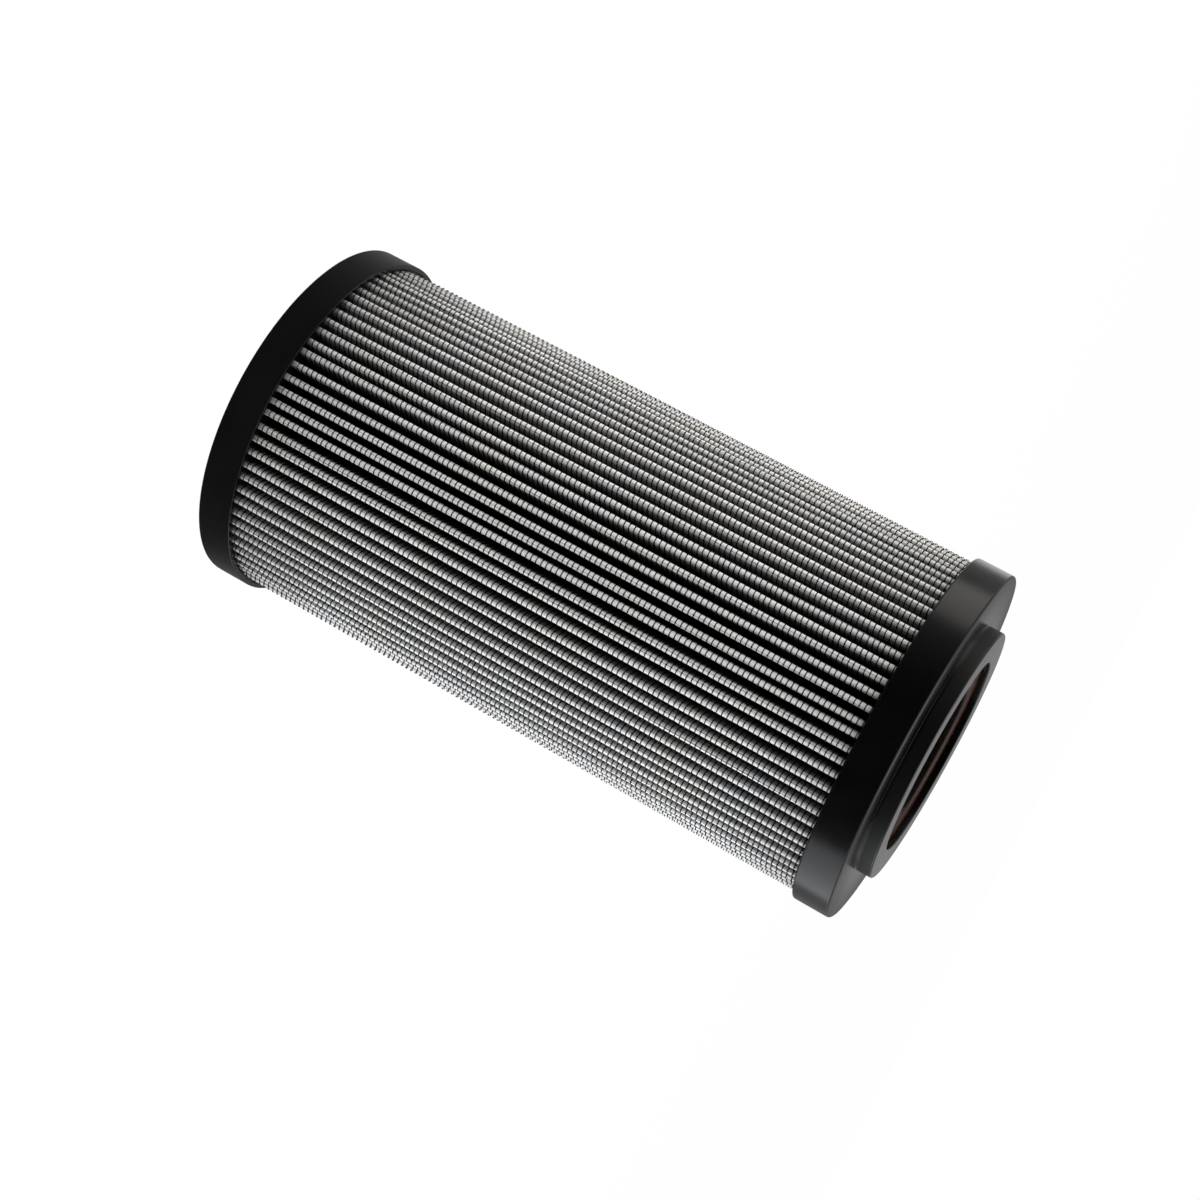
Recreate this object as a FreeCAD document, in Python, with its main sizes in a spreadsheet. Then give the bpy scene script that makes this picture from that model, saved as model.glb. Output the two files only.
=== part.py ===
import FreeCAD, Part
import math
import os
import Sketcher

# A pleated filter element for hydraulic oil, standing on its closed end cap.
# Its axis is Z, and the origin is the middle of the closed cap's outer face.
# Oil flows inwards through the pleats into the core tube and leaves by the open cap's bore.

Vector = FreeCAD.Vector

# Driving sizes in millimetres, from the bore outwards and then along the axis.
SIZES = {
    "bore_diameter": 52.0,  # oil outlet through the open cap
    "sleeve_wall": 3.8,  # the open cap's sleeve, which the core tube slides over
    "hub_wall": 1.9,  # the closed cap's hub, which the core tube's foot slides over
    "core_clearance": 0.2,  # sleeve to core tube, on the radius
    "core_wall": 1.0,
    "core_gap": 0.2,  # core tube to the pleats' inner folds
    "pleat_depth": 14.8,
    "lip_gap": 0.3,  # pleat tips to the caps' lips
    "lip_wall": 1.2,
    "collar_wall": 8.0,  # collar around the bore
    "collar_height": 4.2,
    "cap_plate": 3.0,
    "closed_lip": 6.5,
    "open_lip": 7.0,
    "lip_reveal": 0.8,  # lip's rim down to the adhesive
    "exposed_length": 165.0,  # pleats between the two caps
    "sleeve_height": 5.5,
    "edge_break": 0.4,
    "ring_section": 3.5,
    "ring_proud": 0.2,  # how far the ring stands into the bore
    "ring_clearance": 0.1,  # ring to the sides and floor of its groove
    "ring_land": 1.6,  # collar's face down to the groove
    "outer_mesh_thickness": 0.28,
    "fleece_thickness": 0.14,
    "media_thickness": 0.26,
    "inner_mesh_thickness": 0.22,
    "fold_gap": 0.16,  # between the two legs of one pleat, at its tip
    "root_gap": 0.32,  # between the two legs of one pleat, at the core tube
    "valley_width": 0.4,  # floor of the groove between two pleats
    "fold_ease": 0.36,  # bevel on the outer folds
    "seam_recess": 2.5,  # seam's face below the pleat tips
    "slot_width": 5.0,  # slots punched in the core tube
    "slot_height": 20.0,
    "slot_spacing": 32.0,  # from row to row
    "slots_around": 6,
}

doc = FreeCAD.newDocument("HydraulicFilter")
sheet = doc.addObject("Spreadsheet::Sheet", "sizes")
for row, (alias, size) in enumerate(SIZES.items(), start=1):
    sheet.set(f"A{row}", alias)
    sheet.set(f"B{row}", str(size))
    sheet.setAlias(f"B{row}", alias)
doc.recompute()

# Lengths that follow from the driving sizes, as expressions on the sheet.
bore_radius = "sizes.bore_diameter / 2"
sleeve_radius = f"({bore_radius} + sizes.sleeve_wall)"
core_bore_radius = f"({sleeve_radius} + sizes.core_clearance)"
core_radius = f"({core_bore_radius} + sizes.core_wall)"
pack_bore_radius = f"({core_radius} + sizes.core_gap)"
tip_radius = f"({pack_bore_radius} + sizes.pleat_depth)"
lip_bore_radius = f"({tip_radius} + sizes.lip_gap)"
cap_radius = f"({lip_bore_radius} + sizes.lip_wall)"
collar_radius = f"({bore_radius} + sizes.collar_wall)"

trough_floor = "sizes.cap_plate"
closed_rim = "(sizes.cap_plate + sizes.closed_lip)"
closed_bed = f"({closed_rim} - sizes.lip_reveal)"
open_rim = f"({closed_rim} + sizes.exposed_length)"
open_bed = f"({open_rim} + sizes.lip_reveal)"
trough_roof = f"({open_rim} + sizes.open_lip)"
plate_face = f"({trough_roof} + sizes.cap_plate)"
collar_face = f"({plate_face} + sizes.collar_height)"

groove_top = f"({collar_face} - sizes.ring_land)"
groove_bottom = f"({groove_top} - sizes.ring_section - 2 * sizes.ring_clearance)"
ring_middle = f"(({groove_top} + {groove_bottom}) / 2)"
ring_radius = f"({bore_radius} - sizes.ring_proud + sizes.ring_section / 2)"
groove_radius = f"({ring_radius} + sizes.ring_section / 2 + sizes.ring_clearance)"

stack = (
    "(sizes.outer_mesh_thickness + sizes.fleece_thickness"
    " + sizes.media_thickness + sizes.inner_mesh_thickness)"
)


def length(expression):
    return float(sheet.evalExpression(expression))


def turned(name, profile):
    # A body of revolution about Z. Each point of its profile is a radius and a height.
    body = doc.addObject("PartDesign::Body", name)
    body.Label = name
    plane = next(f for f in body.Origin.OriginFeatures if f.Role == "XZ_Plane")
    sketch = body.newObject("Sketcher::SketchObject", f"{name}_profile")
    sketch.AttachmentSupport = [(plane, "")]
    sketch.MapMode = "FlatFace"
    corners = [Vector(length(radius), length(height), 0) for radius, height in profile]
    count = len(corners)
    for i in range(count):
        sketch.addGeometry(Part.LineSegment(corners[i], corners[(i + 1) % count]), False)
    for i in range(count):
        sketch.addConstraint(Sketcher.Constraint("Coincident", i, 2, (i + 1) % count, 1))
    for i, (radius, height) in enumerate(profile):
        hold_corner(sketch, "DistanceX", i, radius, -2)
        hold_corner(sketch, "DistanceY", i, height, -1)
    revolution = body.newObject("PartDesign::Revolution", f"{name}_turned")
    revolution.Profile = sketch
    revolution.ReferenceAxis = (sketch, ["V_Axis"])
    revolution.Angle = 360
    sketch.Visibility = False
    return body


def hold_corner(sketch, kind, corner, expression, axis):
    # A corner on an axis is held to it, because a distance of nothing can't be a dimension.
    if expression == "0":
        sketch.addConstraint(Sketcher.Constraint("PointOnObject", corner, 1, axis))
        return
    size = length(expression)
    index = sketch.addConstraint(Sketcher.Constraint(kind, -1, 1, corner, 1, size))
    sketch.setExpression(f"Constraints[{index}]", expression)


def rectangle(inner, outer, bottom, top):
    return [(inner, bottom), (outer, bottom), (outer, top), (inner, top)]


def make_closed_end_cap():
    ease = "sizes.edge_break"
    hub_bore = f"({sleeve_radius} - sizes.hub_wall)"
    hub_top = f"({trough_floor} + sizes.sleeve_height)"
    return turned("closed_end_cap", [
        ("0", "0"),
        (f"{cap_radius} - {ease}", "0"),
        (cap_radius, ease),
        (cap_radius, f"{closed_rim} - {ease}"),
        (f"{cap_radius} - {ease}", closed_rim),
        (lip_bore_radius, closed_rim),
        (lip_bore_radius, trough_floor),
        (sleeve_radius, trough_floor),
        (sleeve_radius, hub_top),
        (hub_bore, hub_top),
        (hub_bore, trough_floor),
        ("0", trough_floor),
    ])


def make_open_end_cap():
    ease = "sizes.edge_break"
    sleeve_end = f"({trough_roof} - sizes.sleeve_height)"
    return turned("open_end_cap", [
        (bore_radius, sleeve_end),
        (sleeve_radius, sleeve_end),
        (sleeve_radius, trough_roof),
        (lip_bore_radius, trough_roof),
        (lip_bore_radius, open_rim),
        (f"{cap_radius} - {ease}", open_rim),
        (cap_radius, f"{open_rim} + {ease}"),
        (cap_radius, f"{plate_face} - {ease}"),
        (f"{cap_radius} - {ease}", plate_face),
        (collar_radius, plate_face),
        (collar_radius, f"{collar_face} - {ease}"),
        (f"{collar_radius} - {ease}", collar_face),
        (f"{bore_radius} + {ease}", collar_face),
        (bore_radius, f"{collar_face} - {ease}"),
        (bore_radius, groove_top),
        (groove_radius, groove_top),
        (groove_radius, groove_bottom),
        (bore_radius, groove_bottom),
    ])


def make_seal_ring():
    ring = doc.addObject("Part::Torus", "seal_ring")
    ring.Label = "seal_ring"
    ring.setExpression("Radius1", ring_radius)
    ring.setExpression("Radius2", "sizes.ring_section / 2")
    ring.setExpression("Placement.Base.z", ring_middle)
    return ring


def cylinder(name, radius, height, base):
    solid = doc.addObject("Part::Cylinder", name)
    solid.setExpression("Radius", radius)
    solid.setExpression("Height", height)
    solid.setExpression("Placement.Base.z", base)
    return solid


def make_core_tube():
    # The tube stands between the caps' plates. Its rows of slots are staggered.
    height = f"({trough_roof} - {trough_floor})"
    outside = cylinder("core_outside", core_radius, height, trough_floor)
    inside = cylinder("core_inside", core_bore_radius, height, trough_floor)
    blank = doc.addObject("Part::Cut", "core_blank")
    blank.Base, blank.Tool = outside, inside

    rows = int(length("sizes.exposed_length / sizes.slot_spacing"))
    around = int(length("sizes.slots_around"))
    row_height = length(f"sizes.exposed_length / {rows}")
    punches = []
    for row in range(rows):
        middle = length(closed_rim) + row_height * (row + 0.5)
        for k in range(around):
            turn = FreeCAD.Rotation(Vector(0, 0, 1), 360 * (k + 0.5 * (row % 2)) / around)
            corner = Vector(0, -length("sizes.slot_width / 2"), middle - length("sizes.slot_height / 2"))
            punch = doc.addObject("Part::Box", f"punch_{row}_{k}")
            punch.setExpression("Length", f"{core_radius} + sizes.core_wall")
            punch.setExpression("Width", "sizes.slot_width")
            punch.setExpression("Height", "sizes.slot_height")
            punch.Placement = FreeCAD.Placement(turn.multVec(corner), turn)
            punches.append(punch)
    pattern = doc.addObject("Part::Compound", "core_punches")
    pattern.Links = punches
    tube = doc.addObject("Part::Cut", "core_tube")
    tube.Label = "core_tube"
    tube.Base, tube.Tool = blank, pattern
    return tube


def make_potting(name, bottom, top):
    return turned(name, rectangle(core_radius, lip_bore_radius, bottom, top))


class Pleats:
    # The folded pack seen along its axis. A surface lies `depth` under the pack's outer one,
    # and every layer has the same parallel legs, so the layers lie face to face.

    def __init__(self):
        self.half_fold = length(f"{stack} + sizes.fold_gap / 2")
        self.half_valley = length("sizes.valley_width / 2")
        self.tip_centre = length(tip_radius) - self.half_fold
        self.root_centre = length(f"{pack_bore_radius} + {stack} + sizes.valley_width / 2")
        pitch = length(f"2 * {stack} + sizes.root_gap + sizes.valley_width")
        self.count = int(2 * math.pi * self.root_centre / pitch)
        self.half_pitch = math.pi / self.count

        # A leg is the common tangent of the tip's circle and the next valley's circle.
        root = Vector(math.cos(self.half_pitch), math.sin(self.half_pitch), 0) * self.root_centre
        across = root - Vector(self.tip_centre, 0, 0)
        lean = math.acos((self.half_fold + self.half_valley) / across.Length)
        facing = math.atan2(across.y, across.x) - lean
        self.leg_normal = Vector(math.cos(facing), math.sin(facing), 0)
        self.leg_run = Vector(math.sin(facing), -math.cos(facing), 0)

    def leg_point(self, direction, distance, depth):
        # Where the leg's surface crosses the line that lies `distance` out along `direction`.
        offset = self.leg_normal.x * self.tip_centre + self.half_fold - depth
        n, d = self.leg_normal, direction
        scale = n.x * d.y - n.y * d.x
        x = (offset * d.y - distance * n.y) / scale
        y = (distance * n.x - offset * d.x) / scale
        return Vector(x, y, 0)

    def tip_corner(self, depth):
        return self.leg_point(Vector(1, 0, 0), self.tip_centre + self.half_fold - depth, depth)

    def valley_corner(self, depth):
        middle = Vector(math.cos(self.half_pitch), math.sin(self.half_pitch), 0)
        return self.leg_point(middle, self.root_centre - self.half_valley - depth, depth)

    def outline(self, depth, ease=0.0):
        tip = self.tip_corner(depth)
        valley = self.valley_corner(depth)
        half = [tip, valley]
        if ease:
            half = [tip - Vector(0, ease, 0), tip - self.leg_run * ease, valley]
        mirrored = [Vector(p.x, -p.y, 0) for p in reversed(half)]
        points = []
        for i in range(self.count):
            turn = FreeCAD.Rotation(Vector(0, 0, 1), math.degrees(2 * self.half_pitch * i))
            points += [turn.multVec(p) for p in mirrored + half]
        return Part.makePolygon(points + points[:1])


pleats = Pleats()


def raised(name, face):
    # Extrudes a face of the pack between the two beds of adhesive.
    section = doc.addObject("Part::Feature", f"{name}_section")
    section.Shape = face
    prism = doc.addObject("Part::Extrusion", name)
    prism.Label = name
    prism.Base = section
    prism.DirMode = "Custom"
    prism.Dir = Vector(0, 0, 1)
    prism.Solid = True
    prism.setExpression("LengthFwd", f"{open_bed} - {closed_bed}")
    prism.setExpression("Placement.Base.z", closed_bed)
    return prism


def make_layers():
    layers = []
    depth = 0.0
    ease = length("sizes.fold_ease")
    for name, alias in (
        ("outer_support_mesh", "outer_mesh_thickness"),
        ("outer_fleece", "fleece_thickness"),
        ("filter_media", "media_thickness"),
        ("inner_support_mesh", "inner_mesh_thickness"),
    ):
        below = depth + length(f"sizes.{alias}")
        outlines = [pleats.outline(depth, ease), pleats.outline(below)]
        layers.append(raised(name, Part.makeFace(outlines, "Part::FaceMakerBullseye")))
        depth = below
        ease = 0.0
    return layers


def make_side_seam():
    # Glue that joins the two ends of the folded sheet, in one valley at the back.
    middle = Vector(math.cos(pleats.half_pitch), math.sin(pleats.half_pitch), 0)
    floor = pleats.valley_corner(0.0)
    top = pleats.leg_point(middle, length(f"{tip_radius} - sizes.seam_recess"), 0.0)
    across = Vector(-middle.y, middle.x, 0)
    corners = [floor, top]
    corners += [p - across * (2 * p.dot(across)) for p in reversed(corners)]
    back = round(pleats.count / 4 - 0.5)
    turn = FreeCAD.Rotation(Vector(0, 0, 1), math.degrees(2 * pleats.half_pitch * back))
    corners = [turn.multVec(p) for p in corners]
    return raised("side_seam", Part.Face(Part.makePolygon(corners + corners[:1])))


parts = [
    make_closed_end_cap(),
    make_open_end_cap(),
    make_seal_ring(),
    make_core_tube(),
    make_potting("closed_end_potting", trough_floor, closed_bed),
    make_potting("open_end_potting", open_bed, trough_roof),
    make_side_seam(),
]
parts += make_layers()
doc.recompute()

for thing in doc.Objects:
    if "Invalid" in thing.State or "Error" in thing.State:
        raise RuntimeError(f"{thing.Name} failed: {thing.State}")
for part in parts:
    if part.Shape.isNull() or not part.Shape.isValid():
        raise RuntimeError(f"{part.Label} has no valid shape")

os.makedirs("parts", exist_ok=True)
for part in parts:
    part.Shape.exportStep(f"parts/{part.Label}.step")
    box = part.Shape.BoundBox
    print(
        f"{part.Label}: {len(part.Shape.Solids)} solid, {part.Shape.Volume / 1000:.2f} cm3, "
        f"z {box.ZMin:.2f} to {box.ZMax:.2f}"
    )
print(f"{pleats.count} pleats")
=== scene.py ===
import cmath
import math
import random

import bmesh
import bpy
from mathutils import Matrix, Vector


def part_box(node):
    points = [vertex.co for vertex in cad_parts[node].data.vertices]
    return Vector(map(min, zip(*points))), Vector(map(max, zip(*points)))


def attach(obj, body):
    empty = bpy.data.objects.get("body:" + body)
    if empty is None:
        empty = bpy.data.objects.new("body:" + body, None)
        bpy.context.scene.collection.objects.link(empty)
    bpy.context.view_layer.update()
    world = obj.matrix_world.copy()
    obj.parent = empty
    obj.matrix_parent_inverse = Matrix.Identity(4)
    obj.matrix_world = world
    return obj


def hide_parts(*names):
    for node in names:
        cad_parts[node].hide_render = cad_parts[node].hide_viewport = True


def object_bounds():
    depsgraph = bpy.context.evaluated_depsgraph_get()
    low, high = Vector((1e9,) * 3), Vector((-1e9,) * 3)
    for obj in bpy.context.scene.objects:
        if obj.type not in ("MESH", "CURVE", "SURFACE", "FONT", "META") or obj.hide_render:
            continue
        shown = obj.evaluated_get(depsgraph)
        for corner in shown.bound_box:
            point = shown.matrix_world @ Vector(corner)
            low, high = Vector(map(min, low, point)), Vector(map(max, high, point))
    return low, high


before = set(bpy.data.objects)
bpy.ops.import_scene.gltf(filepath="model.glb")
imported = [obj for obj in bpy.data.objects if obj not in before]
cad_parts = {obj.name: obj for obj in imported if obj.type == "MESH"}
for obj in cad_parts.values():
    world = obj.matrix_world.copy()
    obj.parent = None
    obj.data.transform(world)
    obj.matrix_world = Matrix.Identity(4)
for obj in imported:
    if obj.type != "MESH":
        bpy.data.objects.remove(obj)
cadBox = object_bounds()
mm = 0.001  # the pieces' sizes below are in millimetres


# Shader arithmetic

class Value:
    # A shader output that takes part in plain arithmetic. Each sign adds one Math node.
    def __init__(self, finish, socket):
        self.finish = finish
        self.socket = socket

    def reckon(self, operation, first, second=0.0):
        return self.finish.node("ShaderNodeMath", {"operation": operation}, {0: first, 1: second})

    def __add__(self, other):
        return self.reckon("ADD", self, other)

    def __sub__(self, other):
        return self.reckon("SUBTRACT", self, other)

    def __rsub__(self, other):
        return self.reckon("SUBTRACT", other, self)

    def __mul__(self, other):
        return self.reckon("MULTIPLY", self, other)

    def __truediv__(self, other):
        return self.reckon("DIVIDE", self, other)

    __radd__ = __add__
    __rmul__ = __mul__

    def larger(self, other):
        return self.reckon("MAXIMUM", self, other)

    def smaller(self, other):
        return self.reckon("MINIMUM", self, other)

    def wave(self):
        return self.reckon("SINE", self)


class Finish:
    # The node tree of a material or of the world.
    def __init__(self, owner):
        owner.use_nodes = True
        self.owner = owner
        self.tree = owner.node_tree
        self.tree.nodes.clear()

    def node(self, kind, settings, sockets, output=0):
        made = self.tree.nodes.new(kind)
        for name, setting in settings.items():
            if name == "stops":
                self.setStops(made.color_ramp, setting)
            else:
                setattr(made, name, setting)
        for name, given in sockets.items():
            if isinstance(given, Value):
                self.tree.links.new(given.socket, made.inputs[name])
            else:
                made.inputs[name].default_value = given
        return Value(self, made.outputs[output])

    def setStops(self, ramp, stops):
        while len(ramp.elements) < len(stops):
            ramp.elements.new(0.5)
        for element, (position, colour) in zip(ramp.elements, stops):
            element.position = position
            element.color = (*colour, 1) if isinstance(colour, tuple) else (colour, colour, colour, 1)

    def place(self, turn=(0, 0, 0), scale=(1, 1, 1)):
        where = self.node("ShaderNodeTexCoord", {}, {}, "Object")
        return self.node("ShaderNodeMapping", {}, {"Vector": where, "Rotation": turn, "Scale": scale})

    def ray(self, kind):
        return self.node("ShaderNodeLightPath", {}, {}, kind)

    def along(self, where, axis):
        return self.node("ShaderNodeSeparateXYZ", {}, {"Vector": where}, axis)

    def lengthOf(self, where):
        return self.node("ShaderNodeVectorMath", {"operation": "LENGTH"}, {0: where}, "Value")

    def fromAxis(self, where):
        # How far a place is from the filter's axis.
        flat = self.node("ShaderNodeVectorMath", {"operation": "MULTIPLY"}, {0: where, 1: (1, 1, 0)})
        return self.lengthOf(flat)

    def noise(self, where, size, detail=2.0, roughness=0.5, distortion=0.0):
        # size is about how wide one blot is, in metres.
        return self.node("ShaderNodeTexNoise", {}, {
            "Vector": where, "Scale": 1 / size, "Detail": detail,
            "Roughness": roughness, "Distortion": distortion,
        }, "Fac")

    def ramp(self, value, stops):
        return self.node("ShaderNodeValToRGB", {"stops": stops}, {"Fac": value})

    def spread(self, value, low, high, toLow=0.0, toHigh=1.0):
        return self.node("ShaderNodeMapRange", {}, {
            "Value": value, "From Min": low, "From Max": high, "To Min": toLow, "To Max": toHigh,
        })

    def vary(self, noise, low, high):
        # Noise lies between 0.3 and 0.7 almost everywhere.
        return self.spread(noise, 0.3, 0.7, low, high)

    def mix(self, share, first, second, blend="MIX"):
        # The Mix node keeps its colour sockets after those for numbers and vectors.
        settings = {"data_type": "RGBA", "blend_type": blend}
        first = (*first, 1) if isinstance(first, tuple) else first
        second = (*second, 1) if isinstance(second, tuple) else second
        return self.node("ShaderNodeMix", settings, {0: share, 6: first, 7: second}, 2)

    def bump(self, height, distance, strength=1.0):
        return self.node("ShaderNodeBump", {}, {
            "Height": height, "Distance": distance, "Strength": strength,
        })

    def surface(self, **sockets):
        sockets = {name.replace("_", " "): given for name, given in sockets.items()}
        shader = self.node("ShaderNodeBsdfPrincipled", {}, sockets)
        self.end(shader)
        return self.owner

    def end(self, shader, kind="ShaderNodeOutputMaterial"):
        out = self.tree.nodes.new(kind)
        self.tree.links.new(shader.socket, out.inputs["Surface"])


def newFinish(name):
    return Finish(bpy.data.materials.new(name))


# Camera, light and floor

cameraSetup = {
    "lens": 65.73,
    "sensor": 36,
    "clip": (0.01, 50),  # in metres, as its place is
    "place": (-0.0170, -0.5415, 0.2338),
    "turn": (-61.891, -58.114, 153.143),  # degrees about X, Y and Z
}

studio = {
    "fill": 0.38,  # how strongly the surroundings light the object
    "darkest": 0.005,  # what reflections show of the room on the camera's side
    "wall": 0.35,  # the wall behind the filter
    "wallFrom": (-0.2, 0.5),  # it fades in over this much of a direction's Y
    "ceiling": 0.9,
    "ceilingFrom": (0.3, 0.9),  # and the ceiling over this much of its Z
    "lamps": (
        # name, place and size in metres, power in watts, colour, and whether it shows in
        # reflections. All are aimed at the filter's middle.
        ("left_softbox", (-0.76, 0.06, 0.20), 0.52, 0.75, (1.0, 0.97, 0.93), True),
        ("right_softbox", (0.73, 0.16, 0.20), 0.70, 1.40, (0.93, 0.96, 1.0), True),
        ("top_softbox", (0.00, 0.10, 1.05), 0.60, 1.6, (1.0, 1.0, 1.0), True),
        ("left_bounce", (-0.74, -0.16, 0.25), 0.70, 4.2, (1.0, 0.97, 0.93), False),
        ("right_bounce", (0.75, -0.12, 0.25), 0.70, 5.6, (0.95, 0.97, 1.0), False),
    ),
    "floorSize": 12.0,  # metres
    "floorGlow": 0.85,  # share of the floor's look that is plain white
    "floorWhite": 1.112,  # its strength, which brings the unshaded floor to white
    "floorTurn": 14,  # degrees from +Y to where reflections show the floor at its whitest
    # How light reflections show the floor, from the camera's side at 0 to away from it at 1.
    "floorShades": [(0.25, 0.08), (0.5, 0.20), (0.96, 0.27), (0.986, 1.0)],
    "floorGloom": 0.1,  # how much of that is left far away on the camera's side
    "gloomFrom": (0.15, 0.8),  # metres from the filter
    "gloomSide": (-0.75, -0.15),  # from towards the camera to beside the filter
    "floorColour": (0.8, 0.8, 0.8, 1),
    "floorMiddle": 20 * mm,  # keeps the direction steady right under the filter
}


def makeCamera():
    lens = bpy.data.cameras.new("camera")
    lens.lens = cameraSetup["lens"]
    lens.sensor_width = cameraSetup["sensor"]
    lens.clip_start, lens.clip_end = cameraSetup["clip"]
    holder = bpy.data.objects.new("camera", lens)
    holder.location = cameraSetup["place"]
    holder.rotation_euler = [math.radians(angle) for angle in cameraSetup["turn"]]
    bpy.context.scene.collection.objects.link(holder)
    bpy.context.scene.camera = holder


def makeWorld():
    # White to the eye. Reflections show a dark room with a grey wall and a bright ceiling, and
    # matt surfaces get an even fill light.
    world = Finish(bpy.data.worlds.new("studio"))
    bpy.context.scene.world = world.owner
    seen = world.ray("Is Camera Ray")
    shining = world.ray("Is Glossy Ray").larger(world.ray("Is Transmission Ray"))
    direction = world.node("ShaderNodeTexCoord", {}, {}, "Generated")
    wall = world.spread(
        world.along(direction, "Y"), *studio["wallFrom"], studio["darkest"], studio["wall"],
    )
    ceiling = world.spread(world.along(direction, "Z"), *studio["ceilingFrom"], 0.0, studio["ceiling"])
    mirrored = wall.larger(ceiling)
    unseen = shining * mirrored + (1 - shining) * studio["fill"]
    level = seen + (1 - seen) * unseen
    light = world.node("ShaderNodeBackground", {}, {"Color": (1, 1, 1, 1), "Strength": level})
    world.end(light, "ShaderNodeOutputWorld")


def makeLamps():
    low, high = cadBox
    middle = (low + high) / 2
    for name, place, size, power, colour, mirrored in studio["lamps"]:
        lamp = bpy.data.lights.new(name, "AREA")
        lamp.shape = "DISK"
        lamp.size = size
        lamp.energy = power
        lamp.color = colour
        holder = bpy.data.objects.new(name, lamp)
        holder.location = place
        holder.visible_camera = False
        holder.visible_glossy = mirrored
        holder.rotation_euler = (middle - Vector(place)).to_track_quat("-Z", "Y").to_euler()
        bpy.context.scene.collection.objects.link(holder)


def makeFloor():
    shape = bmesh.new()
    bmesh.ops.create_grid(shape, x_segments=1, y_segments=1, size=studio["floorSize"] / 2)
    mesh = bpy.data.meshes.new("floor")
    shape.to_mesh(mesh)
    shape.free()
    floor = bpy.data.objects.new("floor", mesh)
    bpy.context.scene.collection.objects.link(floor)
    finish = newFinish("floor_paper")
    seen = finish.ray("Is Camera Ray")
    shining = finish.ray("Is Glossy Ray")
    clear = finish.ray("Is Transmission Ray")
    where = finish.place(turn=(0, 0, -math.radians(studio["floorTurn"])))
    distance = finish.lengthOf(where)
    # From -1 towards the camera to 1 away from it
    facing = finish.along(where, "Y") / (distance + studio["floorMiddle"])
    gloom = finish.spread(distance, *studio["gloomFrom"], 1.0, studio["floorGloom"])
    near = finish.spread(facing, *studio["gloomSide"], gloom, 1.0)
    mirrored = finish.ramp(facing * 0.5 + 0.5, studio["floorShades"]) * near
    matt = finish.node("ShaderNodeBsdfDiffuse", {}, {"Color": studio["floorColour"]})
    level = seen * studio["floorWhite"] + (1 - seen) * mirrored
    white = finish.node("ShaderNodeEmission", {}, {"Color": (1, 1, 1, 1), "Strength": level})
    share = (seen * studio["floorGlow"]).larger(shining).larger(clear)
    finish.end(finish.node("ShaderNodeMixShader", {}, {0: share, 1: matt, 2: white}))
    mesh.materials.append(finish.owner)


# Finishes. A colour or roughness wanders between the two that are given, and sizes are in mm.

capPlasticLook = {
    "colours": ((0.0014, 0.0013, 0.0013), (0.0034, 0.0032, 0.0032)),
    "flow": 14,
    "grain": 0.22,
    "fleck": 0.5,
    "relief": 0.012,
    "roughness": (0.18, 0.27),
    # What is added to it on the open cap, with the heights or radii that it fades in over.
    # The plate grows smoother towards the collar. The collar's wall is rougher than the rest,
    # and its face is smoother.
    "plateFrom": (183.7, 184.3),
    "plateRadii": (36, 46),
    "plateMatt": (-0.05, 0.09),
    "plateTo": (184.6, 184.9),
    "wallFrom": (184.6, 185.4),
    "wallRadii": (30, 33),
    "wallMatt": 0.33,
    "faceFrom": (188.1, 188.6),
    "faceMatt": -0.08,
}


def makeCapPlastic():
    look = capPlasticLook
    finish = newFinish("satin_black_nylon")
    where = finish.place()
    flow = finish.noise(where, look["flow"] * mm, 3, 0.55)
    grain = finish.noise(where, look["grain"] * mm, 2, 0.6)
    fleck = finish.noise(where, look["fleck"] * mm, 3, 0.7)
    dark, light = look["colours"]
    colour = finish.ramp(flow * 0.6 + fleck * 0.4, [(0.35, dark), (0.65, light)])
    height = finish.along(where, "Z")
    radius = finish.fromAxis(where)

    def fade(value, name, *levels):
        low, high = look[name]
        return finish.spread(value, low * mm, high * mm, *levels)

    onPlate = fade(height, "plateFrom") * (1 - fade(height, "plateTo"))
    onWall = fade(height, "wallFrom") * fade(radius, "wallRadii")
    matt = onPlate * fade(radius, "plateRadii", *look["plateMatt"]) + onWall * look["wallMatt"]
    matt = matt.smaller(fade(height, "faceFrom", look["wallMatt"], look["faceMatt"]))
    return finish.surface(
        Base_Color=colour,
        Roughness=finish.vary(flow * 0.5 + grain * 0.5, *look["roughness"]) + matt,
        Normal=finish.bump(grain * 0.7 + fleck * 0.3, look["relief"] * mm, 0.6),
    )


sealRubberLook = {
    "colours": ((0.075, 0.036, 0.024), (0.115, 0.058, 0.040)),
    # Painted shade: over these heights the rubber's colour darkens down into the groove and is full
    # brown towards the mouth.
    "shadedFrom": (185.2, 187.2),  # heights: dark in the groove, brown towards the mouth
    "shades": [(0.0, 0.04), (0.2, 0.06), (0.48, 0.35), (0.7, 1.0)],
    "cloud": 5,
    "grain": 0.15,
    "relief": 0.01,
    "roughness": (0.24, 0.34),
    "shine": 0.95,
    "shineTint": (1.0, 0.85, 0.79, 1),
}


def makeSealRubber():
    look = sealRubberLook
    finish = newFinish("brown_seal_rubber")
    where = finish.place()
    cloud = finish.noise(where, look["cloud"] * mm, 3)
    grain = finish.noise(where, look["grain"] * mm, 2)
    low, high = look["shadedFrom"]
    upwards = finish.spread(finish.along(where, "Z"), low * mm, high * mm)
    # Painted shade, darkest low in the groove.
    grooveShade = finish.ramp(upwards, look["shades"])
    brown = finish.mix(cloud, *look["colours"])
    return finish.surface(
        Base_Color=finish.mix(1.0, brown, grooveShade, "MULTIPLY"),
        Roughness=finish.vary(grain, *look["roughness"]),
        Specular_IOR_Level=look["shine"],
        Specular_Tint=look["shineTint"],
        Normal=finish.bump(grain, look["relief"] * mm, 0.5),
    )


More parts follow.
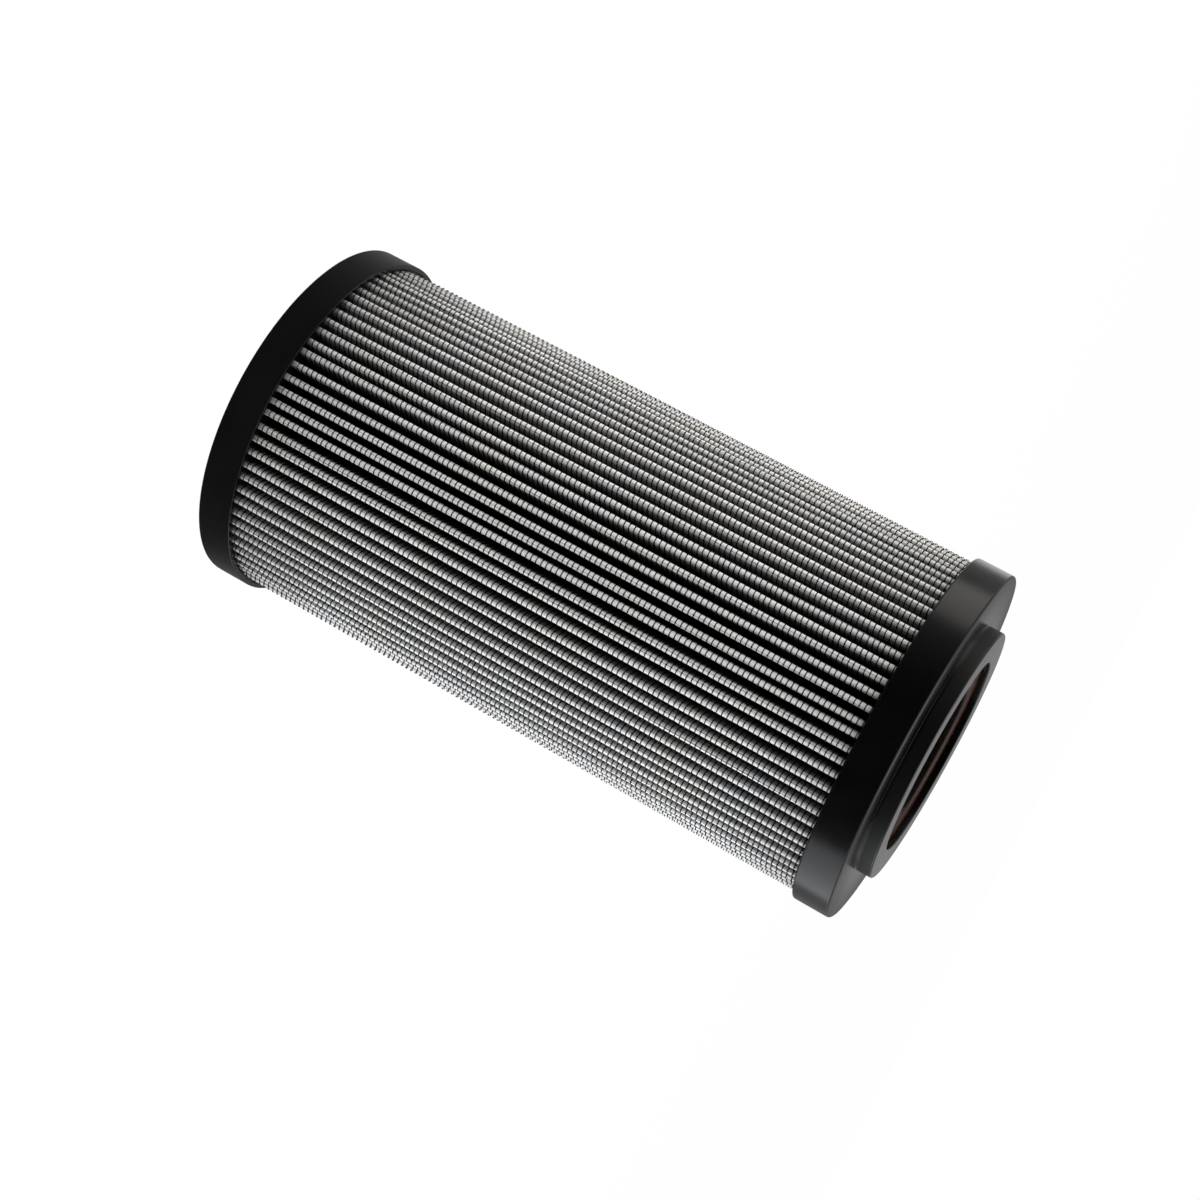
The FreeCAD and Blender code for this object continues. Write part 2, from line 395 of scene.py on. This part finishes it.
tinnedSteelLook = {
    "colours": ((0.58, 0.58, 0.59), (0.74, 0.74, 0.73)),
    "cloud": 9,
    "drawn": 0.25,  # width of the fine lines that drawing leaves
    "drawnScale": (1, 1, 0.04),  # which makes them long
    "relief": 0.006,
    "roughness": (0.26, 0.42),
    "metal": 0.4,
}


def makeTinnedSteel():
    look = tinnedSteelLook
    finish = newFinish("tinned_sheet_steel")
    drawn = finish.noise(finish.place(scale=look["drawnScale"]), look["drawn"] * mm, 3, 0.6)
    cloud = finish.noise(finish.place(), look["cloud"] * mm, 4, 0.6)
    return finish.surface(
        Base_Color=finish.mix(cloud, *look["colours"]),
        Metallic=look["metal"],
        Roughness=finish.vary(drawn * 0.6 + cloud * 0.4, *look["roughness"]),
        Normal=finish.bump(drawn, look["relief"] * mm, 0.6),
    )


coatedWireLook = {
    "colours": ((0.003, 0.003, 0.0032), (0.007, 0.0068, 0.0066)),
    "cloud": 12,
    "lumps": 0.4,
    "relief": 0.02,
    "roughness": (0.48, 0.65),
    "shine": 0.08,
}


def makeCoatedWire():
    look = coatedWireLook
    finish = newFinish("black_coated_wire")
    where = finish.place()
    cloud = finish.noise(where, look["cloud"] * mm, 2)
    lumps = finish.noise(where, look["lumps"] * mm, 2)
    return finish.surface(
        Base_Color=finish.mix(cloud, *look["colours"]),
        Roughness=finish.vary(lumps, *look["roughness"]),
        Specular_IOR_Level=look["shine"],
        Normal=finish.bump(lumps, look["relief"] * mm, 0.5),
    )


fibreLook = {
    "fleece": ((0.84, 0.85, 0.87), (0.86, 0.84, 0.80)),
    "glass": ((0.86, 0.86, 0.86), (0.84, 0.84, 0.82)),
    "fibres": 0.16,
    "speck": 0.6,
    "patch": 3.5,
    "cloud": 16,
    "relief": 0.05,
    "roughness": 0.85,
    # White at the tips. The folds' depths get painted shade: the colour darkens with depth, standing
    # in for the shade that falls there.
    "shadeBelowTips": 0.3,  # under the tips
    "shadeDeepest": 6.3,
    "foldShades": [(0.0, 1.0), (0.12, 0.58), (0.25, 0.26), (0.5, 0.085), (1.0, 0.03)],
    "tangle": 0.42,  # how much of the darkest tangles is this grey
    "tangleGrey": (0.50, 0.50, 0.49),
}


def makeFibreSheet(name, pale, warm):
    look = fibreLook
    finish = newFinish(name)
    where = finish.place()
    fibres = finish.noise(where, look["fibres"] * mm, 4, 0.7, 1.2)
    speck = finish.noise(where, look["speck"] * mm, 3, 0.65, 0.6)
    patch = finish.noise(where, look["patch"] * mm, 2, 0.5)
    cloud = finish.noise(where, look["cloud"] * mm, 3, 0.6)
    # Painted shade: the colour is darkened with depth into the folds.
    shadeTopRadius, shadeDeepRadius = tipRadius - look["shadeBelowTips"] * mm, tipRadius - look["shadeDeepest"] * mm
    paintedShading = finish.ramp(finish.spread(finish.fromAxis(where), shadeTopRadius, shadeDeepRadius), look["foldShades"])
    tint = finish.mix(finish.spread(cloud * 0.6 + patch * 0.4, 0.38, 0.62), pale, warm)
    tangle = finish.spread(fibres * 0.4 + speck * 0.6, 0.38, 0.66, 0.0, look["tangle"])
    lit = finish.mix(tangle, tint, look["tangleGrey"])
    return finish.surface(
        Base_Color=finish.mix(1.0, lit, paintedShading, "MULTIPLY"),
        Roughness=look["roughness"],
        Normal=finish.bump(fibres, look["relief"] * mm, 0.7),
    )


innerClothLook = {
    "pitch": 0.9,  # from wire to wire
    "wires": ((0.40, 0.40, 0.41), (0.56, 0.56, 0.55)),
    # The holes between the wires are painted dark, as painted shade.
    "shadedHoles": (0.05, 0.05, 0.05),
    "wireEdge": (0.1, 0.5),  # how high the waves of the weave are where a wire starts and is full
    "cloud": 8,
    "relief": 0.1,
    "roughness": 0.4,
}


def makeInnerCloth():
    # Plain steel wire cloth. Its wires run level and upright on the nearly radial legs.
    look = innerClothLook
    finish = newFinish("inner_wire_cloth")
    where = finish.place()
    turns = math.tau / (look["pitch"] * mm)
    level = (finish.along(where, "Z") * turns).wave()
    upright = (finish.fromAxis(where) * turns).wave()
    weave = level.larger(upright)
    onWire = finish.spread(weave, *look["wireEdge"])
    steel = finish.mix(finish.noise(where, look["cloud"] * mm, 3), *look["wires"])
    return finish.surface(
        # Painted shade fills the holes between the wires.
        Base_Color=finish.mix(onWire, look["shadedHoles"], steel),
        Metallic=onWire,
        Roughness=look["roughness"],
        Normal=finish.bump(weave, look["relief"] * mm, 0.8),
    )


adhesiveLook = {
    "colours": ((0.010, 0.010, 0.011), (0.022, 0.021, 0.021)),
    "swell": 4,
    "pits": 0.6,
    "relief": 0.2,
    "roughness": (0.3, 0.5),
}


def makeAdhesive():
    look = adhesiveLook
    finish = newFinish("potting_adhesive")
    where = finish.place()
    swell = finish.noise(where, look["swell"] * mm, 3)
    pits = finish.noise(where, look["pits"] * mm, 2)
    return finish.surface(
        Base_Color=finish.mix(swell, *look["colours"]),
        Roughness=finish.vary(pits, *look["roughness"]),
        Normal=finish.bump(swell * 0.8 + pits * 0.2, look["relief"] * mm, 0.6),
    )


# Turned pieces

cornerSegments = 4
sameWithin = 0.001  # points that are nearer than this are one point


def corner(radius, height, rounding=0.0):
    return (radius * mm, height * mm, rounding * mm)


def turned(name, corners, steps, closed=True):
    # Rounds the corners of a profile, then spins it about Z.
    shape = bmesh.new()
    chain = [shape.verts.new((radius, 0, height)) for radius, height, _ in corners]
    for first, second in zip(chain, chain[1:]):
        shape.edges.new((first, second))
    if closed:
        shape.edges.new((chain[-1], chain[0]))
    for vertex, (_, _, rounding) in zip(chain, corners):
        if rounding:
            bmesh.ops.bevel(
                shape, geom=[vertex], offset=rounding, offset_type="OFFSET",
                segments=cornerSegments, profile=0.5, affect="VERTICES", material=-1,
            )
    bmesh.ops.spin(
        shape, geom=shape.verts[:] + shape.edges[:], cent=(0, 0, 0), axis=(0, 0, 1),
        angle=math.tau, steps=steps, use_merge=True,
    )
    return makePiece(name, shape)


def makePiece(name, shape):
    # Merges doubles, points the faces outwards and puts the shape into the scene.
    bmesh.ops.remove_doubles(shape, verts=shape.verts, dist=sameWithin * mm)
    bmesh.ops.recalc_face_normals(shape, faces=shape.faces)
    mesh = bpy.data.meshes.new(name)
    shape.to_mesh(mesh)
    shape.free()
    mesh.shade_smooth()
    piece = bpy.data.objects.new(name, mesh)
    bpy.context.scene.collection.objects.link(piece)
    return piece


def evenShine(piece):
    # Keeps flat faces flat to the light beside rounded edges.
    evened = piece.modifiers.new("even_shine", "WEIGHTED_NORMAL")
    evened.weight = 100
    evened.keep_sharp = True


closedCap = {
    "radius": 47.5,
    "rim": 9.5,
    "lipBore": 46.3,
    "floor": 3.0,
    "hubRadius": 29.8,
    "hubBore": 27.9,
    "hubTop": 8.5,
    "rounding": 0.45,
    "rimRounding": 0.18,  # on both corners of the rim
    "steps": 160,
}


def makeClosedCap():
    size = closedCap
    edge = size["rounding"]
    return turned("closed_cap", [
        corner(0, 0),
        corner(size["radius"], 0, edge),
        corner(size["radius"], size["rim"], size["rimRounding"]),
        corner(size["lipBore"], size["rim"], size["rimRounding"]),
        corner(size["lipBore"], size["floor"]),
        corner(size["hubRadius"], size["floor"]),
        corner(size["hubRadius"], size["hubTop"], edge / 2),
        corner(size["hubBore"], size["hubTop"], edge / 2),
        corner(size["hubBore"], size["floor"]),
        corner(0, size["floor"]),
    ], size["steps"], closed=False)


openCap = {
    "radius": 47.5,
    "rim": 174.5,
    "lipBore": 46.3,
    "troughRoof": 181.5,
    "plateFace": 184.5,
    "collarRadius": 34.0,
    "collarFace": 188.7,
    "boreRadius": 26.0,
    "sleeveRadius": 29.8,
    "sleeveEnd": 176.0,
    "grooveRadius": 29.4,
    "grooveTop": 187.1,
    "grooveBottom": 183.4,
    "rounding": 0.45,
    "plateRounding": 0.7,
    "collarFoot": 0.1,  # rounding of the corner between the plate and the collar
    "mouth": 0.3,  # and of the bore's mouth
    "steps": 160,
}


def makeOpenCap():
    size = openCap
    edge = size["rounding"]
    return turned("open_cap", [
        corner(size["boreRadius"], size["sleeveEnd"], edge),
        corner(size["sleeveRadius"], size["sleeveEnd"], edge),
        corner(size["sleeveRadius"], size["troughRoof"]),
        corner(size["lipBore"], size["troughRoof"]),
        corner(size["lipBore"], size["rim"], edge / 2),
        corner(size["radius"], size["rim"], edge),
        corner(size["radius"], size["plateFace"], size["plateRounding"]),
        corner(size["collarRadius"], size["plateFace"], size["collarFoot"]),
        corner(size["collarRadius"], size["collarFace"], edge),
        corner(size["boreRadius"], size["collarFace"], size["mouth"]),
        corner(size["boreRadius"], size["grooveTop"], edge / 4),
        corner(size["grooveRadius"], size["grooveTop"]),
        corner(size["grooveRadius"], size["grooveBottom"]),
        corner(size["boreRadius"], size["grooveBottom"], edge / 4),
    ], size["steps"])


# Core tube, made as the real one is: a punched sheet, rolled up

coreTube = {
    "outerRadius": 31.0,
    "wall": 1.0,
    "slotWidth": 5.0,
    "slotHeight": 20.0,
    "slotsAround": 6,
    "rows": 5,
    "firstRow": 9.5,  # the slots' rows divide the height between the caps' lips
    "lastRow": 174.5,
    "stripsBetween": 5,  # flat strips between two slots' places, so that it looks round
    "softEdge": 0.12,
    "cutWithin": 1e-7,  # a cut that passes a corner this near goes through it
}


def makeCoreTube():
    size = coreTube
    low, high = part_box("core_tube")
    radius = size["outerRadius"] * mm
    halfSlot = size["slotWidth"] * mm / 2 / radius
    places = 2 * size["slotsAround"]
    step = math.tau / places
    rowHeight = (size["lastRow"] - size["firstRow"]) / size["rows"]
    middles = [(size["firstRow"] + rowHeight * (row + 0.5)) * mm for row in range(size["rows"])]

    # The flat sheet holds angles along X and heights along Y.
    shape = bmesh.new()
    bmesh.ops.create_grid(shape, x_segments=1, y_segments=1, size=0.5)
    bmesh.ops.scale(shape, vec=(math.tau, high.z - low.z, 1), verts=shape.verts)
    bmesh.ops.translate(shape, vec=(math.pi - step / 2, (low.z + high.z) / 2, 0), verts=shape.verts)

    def cut(place, across):
        bmesh.ops.bisect_plane(
            shape, geom=shape.verts[:] + shape.edges[:] + shape.faces[:],
            dist=size["cutWithin"], plane_co=place, plane_no=across,
        )

    for k in range(places):
        cut((k * step - halfSlot, 0, 0), (1, 0, 0))
        cut((k * step, 0, 0), (1, 0, 0))
        cut((k * step + halfSlot, 0, 0), (1, 0, 0))
        gap = step - 2 * halfSlot
        for strip in range(1, size["stripsBetween"]):
            cut((k * step + halfSlot + gap * strip / size["stripsBetween"], 0, 0), (1, 0, 0))
    halfHeight = size["slotHeight"] * mm / 2
    for middle in middles:
        cut((0, middle - halfHeight, 0), (0, 1, 0))
        cut((0, middle + halfHeight, 0), (0, 1, 0))

    punched = []
    for face in shape.faces:
        angle, height, _ = face.calc_center_median()
        nearest = round(angle / step)
        if abs(angle - nearest * step) > halfSlot:
            continue
        for row, middle in enumerate(middles):
            if abs(height - middle) < halfHeight and nearest % 2 == row % 2:
                punched.append(face)
    bmesh.ops.delete(shape, geom=punched, context="FACES")
    for vertex in shape.verts:
        angle, height, _ = vertex.co
        vertex.co = (radius * math.cos(angle), radius * math.sin(angle), height)
    piece = makePiece("core_sleeve", shape)
    wall = piece.modifiers.new("wall", "SOLIDIFY")
    wall.thickness = size["wall"] * mm
    wall.offset = -1
    soften = piece.modifiers.new("soft_edges", "BEVEL")
    soften.width = size["softEdge"] * mm
    soften.segments = 2
    soften.angle_limit = math.radians(40)
    return piece


# The folded pack

pack = {
    "pleats": 80,
    "halfFold": 0.98,  # half a pleat's thickness at its tip
    "halfValley": 0.2,  # and half the gap between two pleats' legs at their roots
    "rootCentre": 32.3,  # radius of the valleys' centres
    "swayAngle": 0.26,  # degrees that a tip stands to one side
    "swayLimit": 2.2,  # times that, at most
    "leanAngle": 0.18,  # degrees that its two ends differ by
    "tipDrop": 0.12,
    "trueFrom": 19,  # the pleats from here to trueTo hold the side seam and stand straight
    "trueTo": 22,
    "seed": 5,
}


def drawUnevenness():
    # How far each tip stands to one side, how far it leans, and how much lower it is.
    draw = random.Random(pack["seed"])
    uneven = []
    for i in range(pack["pleats"]):
        sway = draw.gauss(0, pack["swayAngle"])
        lean = draw.gauss(0, pack["leanAngle"])
        drop = draw.uniform(0, pack["tipDrop"])
        if pack["trueFrom"] <= i <= pack["trueTo"]:
            sway, lean, drop = 0.0, 0.0, 0.0
        limit = pack["swayLimit"] * pack["swayAngle"]
        sway = max(-limit, min(limit, sway))
        uneven.append((math.radians(sway), math.radians(lean), drop * mm))
    return uneven


class Pleat:
    # One fold seen along the axis at a share of the height, in complex numbers. A layer lies
    # `depth` under the pack's outer surface, and its legs are common tangents of the circles
    # about the tip's centre and the centres of the two valleys beside it.
    def __init__(self, i, share):
        turn = math.tau / pack["pleats"]
        sway, lean, drop = unevenness[i % pack["pleats"]]
        self.half = pack["halfFold"] * mm
        self.valleyHalf = pack["halfValley"] * mm
        angle = turn * i + sway + lean * (share - 0.5)
        self.tip = cmath.rect(tipRadius - drop - self.half, angle)
        self.crown = self.tip / abs(self.tip)
        root = pack["rootCentre"] * mm
        self.valleys = [cmath.rect(root, turn * (i + side / 2)) for side in (-1, 1)]
        self.normals = []
        for valley, side in zip(self.valleys, (-1, 1)):
            across = valley - self.tip
            swing = math.acos((self.half + self.valleyHalf) / abs(across))
            self.normals.append(across / abs(across) * cmath.rect(1, -side * swing))

    def tipArc(self, depth, steps):
        # From the leg on the lower side to the leg on the upper side, over the crown.
        first, last = self.normals
        sweep = cmath.phase(last / first)
        return [
            self.tip + (self.half - depth) * first * cmath.rect(1, sweep * k / steps)
            for k in range(steps + 1)
        ]

    def alongSurface(self, distance, depth):
        # The point that lies this far from the crown, measured along the surface.
        side = 1 if distance > 0 else 0
        normal, valley = self.normals[side], self.valleys[side]
        radius = self.half - depth
        quarter = abs(cmath.phase(normal / self.crown))
        run = abs(distance)
        if run < radius * quarter:
            return self.tip + radius * self.crown * cmath.rect(1, distance / radius)
        start = self.tip + radius * normal
        end = valley - (self.valleyHalf + depth) * normal
        return start + (end - start) / abs(end - start) * (run - radius * quarter)

    def legLength(self):
        reach = (self.half + self.valleyHalf) ** 2
        return math.sqrt(abs(self.valleys[1] - self.tip) ** 2 - reach)


def foldedPath(share, depth, tipSteps, valleySteps):
    path = []
    pleats = [Pleat(i, share) for i in range(pack["pleats"])]
    for pleat, nextPleat in zip(pleats, pleats[1:] + pleats[:1]):
        path += pleat.tipArc(depth, tipSteps)
        # The valley's floor, from this pleat's leg round to the next one's.
        centre = pleat.valleys[1]
        first, last = -pleat.normals[1], -nextPleat.normals[0]
        sweep = cmath.phase(last / first)
        radius = pleat.valleyHalf + depth
        for k in range(valleySteps + 1):
            path.append(centre + radius * first * cmath.rect(1, sweep * k / valleySteps))
    return path


sheets = {
    # How deep each one's outer face lies under the pack's outer surface, how thick it is, and
    # how many steps make its tips and its valleys.
    "fleece": {"depth": 0.19, "thickness": 0.23, "tipSteps": 8, "valleySteps": 4},
    "media": {"depth": 0.43, "thickness": 0.24, "tipSteps": 6, "valleySteps": 3},
    "innerCloth": {"depth": 0.69, "thickness": 0.20, "tipSteps": 5, "valleySteps": 4},
    "levels": 4,  # level steps from one end of the pack to the other
    "flatSteps": (8, 4),  # steps at the tips and valleys for the flat lengths
}


def foldedSheet(name, kind):
    # An outline of the folds is drawn upwards in level steps, and each step leans as the folds do.
    size = sheets[kind]
    levels = sheets["levels"]
    paths = [
        foldedPath(k / levels, size["depth"] * mm, size["tipSteps"], size["valleySteps"])
        for k in range(levels + 1)
    ]
    shape = bmesh.new()
    order = shape.verts.layers.int.new("order")
    loop = []
    for k, point in enumerate(paths[0]):
        vertex = shape.verts.new((point.real, point.imag, packLow))
        vertex[order] = k
        loop.append(vertex)
    edges = [shape.edges.new((loop[k - 1], loop[k])) for k in range(len(loop))]
    for path in paths[1:]:
        grown = bmesh.ops.extrude_edge_only(shape, edges=edges)["geom"]
        raised = [part for part in grown if isinstance(part, bmesh.types.BMVert)]
        edges = [part for part in grown if isinstance(part, bmesh.types.BMEdge)]
        bmesh.ops.translate(shape, vec=(0, 0, packHeight / levels), verts=raised)
        for vertex in raised:
            point = path[vertex[order]]
            vertex.co.x, vertex.co.y = point.real, point.imag
    piece = makePiece(name, shape)
    wall = piece.modifiers.new("wall", "SOLIDIFY")
    wall.thickness = size["thickness"] * mm
    wall.offset = -1
    wall.use_even_offset = True
    return piece


def flatLength(kind):
    # How long the sheet was before it was folded, along its own middle.
    size = sheets[kind]
    middle = (size["depth"] + size["thickness"] / 2) * mm
    path = foldedPath(0.5, middle, *sheets["flatSteps"])
    return sum(abs(path[k] - path[k - 1]) for k in range(len(path)))


# Wire cloth over the folds

cloth = {
    "pitch": 1.41,  # from wire to wire, both ways
    "levelWire": 0.41,
    "uprightWire": 0.18,  # half sunk into the fleece
    "knot": 0.56,  # how thick the cloth stands where two wires cross
    "levelDepth": 0.165,  # under the pack's outer surface to the middle of the level wires
    "uprightDepth": 0.25,  # the same for the upright wires on a crown
    "flankDepth": 0.225,  # and for those on its flanks
    "knotDepth": 0.20,  # and for the knots on a crown
    "flankKnotDepth": 0.18,
    "crownReach": 1.6,  # what lies this near to the top of a pleat is on its crown
    "knotReach": 2.7,  # knots show as far as this
    "levelPieces": 4,  # the level wires are shared out over these
    "knotPieces": 2,
    "levelSteps": (5, 1),  # steps of a level wire over a tip and through a valley
    "endGap": 0.5,
    "wander": 0.45,  # how far a level wire rises and falls on its way round
    "waves": ((3, 0.6, 0.0), (7, 0.4, 1.3)),  # how often, its share, and where it starts
    "shake": 0.05,
    "skew": 1.1,  # how far an upright wire moves across its pleat from end to end
    "uprightSteps": 8,
    "spare": 1.2,  # room on a pleat's leg, over its straight part, that upright wires may use
    "seed": 11,
}


def drawCloth():
    # The level wires' even heights, how far each is shaken at each pleat, and for each pleat
    # where its first upright wire stands and how far it leans.
    draw = random.Random(cloth["seed"])
    pitch = cloth["pitch"] * mm
    room = packHeight - 2 * (cloth["endGap"] + cloth["wander"]) * mm
    count = int(room / pitch) + 1
    first = (packLow + packHigh - (count - 1) * pitch) / 2
    rows = [first + k * pitch for k in range(count)]
    shakes = [[draw.uniform(-1, 1) * cloth["shake"] * mm for _ in range(pack["pleats"])] for _ in rows]
    columns = [
        (draw.uniform(0, 1) * pitch, draw.uniform(-1, 1) * cloth["skew"] * mm)
        for _ in range(pack["pleats"])
    ]
    return rows, shakes, columns


def wireHeight(row, i, point):
    way = cmath.phase(point)
    wander = sum(share * math.sin(times * way + start) for times, share, start in cloth["waves"])
    return levelRows[row] + levelShakes[row][i] + wander * cloth["wander"] * mm


def shareOfHeight(height):
    return (height - packLow) / packHeight


def uprightPlaces(i):
    # How far from the crown each upright wire of a pleat stands at mid height, and their lean.
    start, skew = uprightColumns[i]
    pitch = cloth["pitch"] * mm
    reach = Pleat(i, 0.5).legLength() + cloth["spare"] * mm - abs(skew) / 2
    count = int(reach / pitch)
    return [start + n * pitch for n in range(-count, count)], skew


sectionRadius = 0.58  # from the middle of a wire to its corners, as a share of its thickness


def wireMesh(name, runs, thickness, closed):
    # Poly curves with a three-sided section, as wide as the wire is thick, turned into one mesh.
    ridge = bpy.data.curves.new("wire_section", "CURVE")
    section = ridge.splines.new("POLY")
    section.points.add(2)
    for k, point in enumerate(section.points):
        spoke = cmath.rect(thickness * sectionRadius, math.tau * k / 3)
        point.co = (spoke.real, spoke.imag, 0, 1)
    section.use_cyclic_u = True
    sectionHolder = bpy.data.objects.new("wire_section", ridge)
    bpy.context.scene.collection.objects.link(sectionHolder)

    curve = bpy.data.curves.new(name, "CURVE")
    curve.dimensions = "3D"
    curve.bevel_mode = "OBJECT"
    curve.bevel_object = sectionHolder
    curve.twist_mode = "Z_UP" if closed else "MINIMUM"
    curve.use_fill_caps = not closed
    for run in runs:
        spline = curve.splines.new("POLY")
        spline.points.add(len(run) - 1)
        spline.points.foreach_set("co", [value for x, y, z in run for value in (x, y, z, 1.0)])
        spline.use_cyclic_u = closed
        spline.use_smooth = True
    holder = bpy.data.objects.new(name, curve)
    bpy.context.scene.collection.objects.link(holder)
    bpy.context.view_layer.update()
    solid = holder.evaluated_get(bpy.context.evaluated_depsgraph_get())
    shape = bmesh.new()
    made = bpy.data.meshes.new_from_object(solid)
    shape.from_mesh(made)
    for thing in (holder, sectionHolder):
        bpy.data.objects.remove(thing)
    bpy.data.curves.remove(curve)
    bpy.data.curves.remove(ridge)
    bpy.data.meshes.remove(made)
    return makePiece(name, shape)


def makeLevelWires():
    # Closed rings that follow every fold all the way round.
    groups = []
    for row, height in enumerate(levelRows):
        path = foldedPath(shareOfHeight(height), cloth["levelDepth"] * mm, *cloth["levelSteps"])
        perPleat = len(path) // pack["pleats"]
        if row * cloth["levelPieces"] // len(levelRows) == len(groups):
            groups.append([])
        groups[-1].append([
            (point.real, point.imag, wireHeight(row, n // perPleat, point))
            for n, point in enumerate(path)
        ])
    return [
        wireMesh(f"level_wires_{n + 1}", runs, cloth["levelWire"] * mm, closed=True)
        for n, runs in enumerate(groups)
    ]


def makeUprightWires():
    # Wires along the pleats. Each pleat's set starts at its own place and crosses it slowly.
    steps = cloth["uprightSteps"]
    margin = cloth["endGap"] * mm / 2
    runs = []
    for i in range(pack["pleats"]):
        levels = [Pleat(i, k / steps) for k in range(steps + 1)]
        places, skew = uprightPlaces(i)
        for place in places:
            onCrown = abs(place) < cloth["crownReach"] * mm
            depth = cloth["uprightDepth" if onCrown else "flankDepth"] * mm
            run = []
            for k, pleat in enumerate(levels):
                distance = place + skew * (k / steps - 0.5)
                point = pleat.alongSurface(distance, depth)
                height = packLow + margin + (packHeight - 2 * margin) * k / steps
                run.append((point.real, point.imag, height))
            runs.append(run)
    return wireMesh("upright_wires", runs, cloth["uprightWire"] * mm, closed=False)


def makeKnots():
    # A bead for each place near a crown where two wires cross. One column of beads is made,
    # and a copy of it is moved to each upright wire. Each piece holds its share of the pleats.
    column = bmesh.new()
    rowOf = column.verts.layers.int.new("row")
    for row in range(len(levelRows)):
        bead = bmesh.ops.create_uvsphere(
            column, u_segments=4, v_segments=2, radius=cloth["knot"] * mm / 2,
        )
        for vertex in bead["verts"]:
            vertex[rowOf] = row
    template = bpy.data.meshes.new("knot_column")
    column.to_mesh(template)
    column.free()

    shapes = [bmesh.new() for _ in range(cloth["knotPieces"])]
    for i in range(pack["pleats"]):
        pleats = [Pleat(i, shareOfHeight(height)) for height in levelRows]
        places, skew = uprightPlaces(i)
        for place in places:
            if abs(place) > cloth["knotReach"] * mm:
                continue
            onCrown = abs(place) < cloth["crownReach"] * mm
            depth = cloth["knotDepth" if onCrown else "flankKnotDepth"] * mm
            middles = []
            for row, (pleat, height) in enumerate(zip(pleats, levelRows)):
                distance = place + skew * (shareOfHeight(height) - 0.5)
                point = pleat.alongSurface(distance, depth)
                middles.append(Vector((point.real, point.imag, wireHeight(row, i, point))))
            copy = bmesh.new()
            copy.from_mesh(template)
            rowOf = copy.verts.layers.int["row"]
            for vertex in copy.verts:
                vertex.co += middles[vertex[rowOf]]
            moved = bpy.data.meshes.new("moved_knots")
            copy.to_mesh(moved)
            copy.free()
            shapes[i * cloth["knotPieces"] // pack["pleats"]].from_mesh(moved)
            bpy.data.meshes.remove(moved)
    bpy.data.meshes.remove(template)
    return [makePiece(f"wire_knots_{n + 1}", shape) for n, shape in enumerate(shapes)]


# The scene

makeCamera()
makeWorld()
makeLamps()
makeFloor()
print("studio is set")

packBottom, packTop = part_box("outer_support_mesh")
packLow, packHigh, tipRadius = packBottom.z, packTop.z, packTop.x
packHeight = packHigh - packLow
unevenness = drawUnevenness()
levelRows, levelShakes, uprightColumns = drawCloth()

capPlastic = makeCapPlastic()
sealRubber = makeSealRubber()
tinnedSteel = makeTinnedSteel()
coatedWire = makeCoatedWire()
fleece = makeFibreSheet("spun_fleece", *fibreLook["fleece"])
glassFelt = makeFibreSheet("glass_fibre_felt", *fibreLook["glass"])
innerCloth = makeInnerCloth()
adhesive = makeAdhesive()
print("finishes are made")


def dress(piece, finish, slot, *nodes):
    piece.data.materials.clear()
    piece.data.materials.append(finish)
    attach(piece, "root")
    if nodes:
        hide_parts(*nodes)


for cap, node in ((makeClosedCap(), "closed_end_cap"), (makeOpenCap(), "open_end_cap")):
    evenShine(cap)
    dress(cap, capPlastic, "cap_plastic", node)
print("caps are turned")

dress(makeCoreTube(), tinnedSteel, "core_steel", "core_tube")
print("core tube is rolled")

fleeceSheet = foldedSheet("fleece_sheet", "fleece")
dress(fleeceSheet, fleece, "fleece", "outer_fleece")
mediaSheet = foldedSheet("media_sheet", "media")
dress(mediaSheet, glassFelt, "media", "filter_media")
flatLength("fleece")
flatLength("media")
innerSheet = foldedSheet("inner_cloth_sheet", "innerCloth")
dress(innerSheet, innerCloth, "inner_wire", "inner_support_mesh")
print("sheets are folded")

for wires in makeLevelWires():
    dress(wires, coatedWire, "outer_wire", "outer_support_mesh")
dress(makeUprightWires(), coatedWire, "outer_wire", "outer_support_mesh")
for knots in makeKnots():
    dress(knots, coatedWire, "outer_wire", "outer_support_mesh")
print("wire cloth is laid")

for node, finish in (
    ("seal_ring", sealRubber),
    ("closed_end_potting", adhesive),
    ("open_end_potting", adhesive),
    ("side_seam", adhesive),
):
    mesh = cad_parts[node].data
    mesh.materials.clear()
    mesh.materials.append(finish)
print("carried-over pieces are finished")

bpy.context.scene.view_settings.view_transform = "Standard"
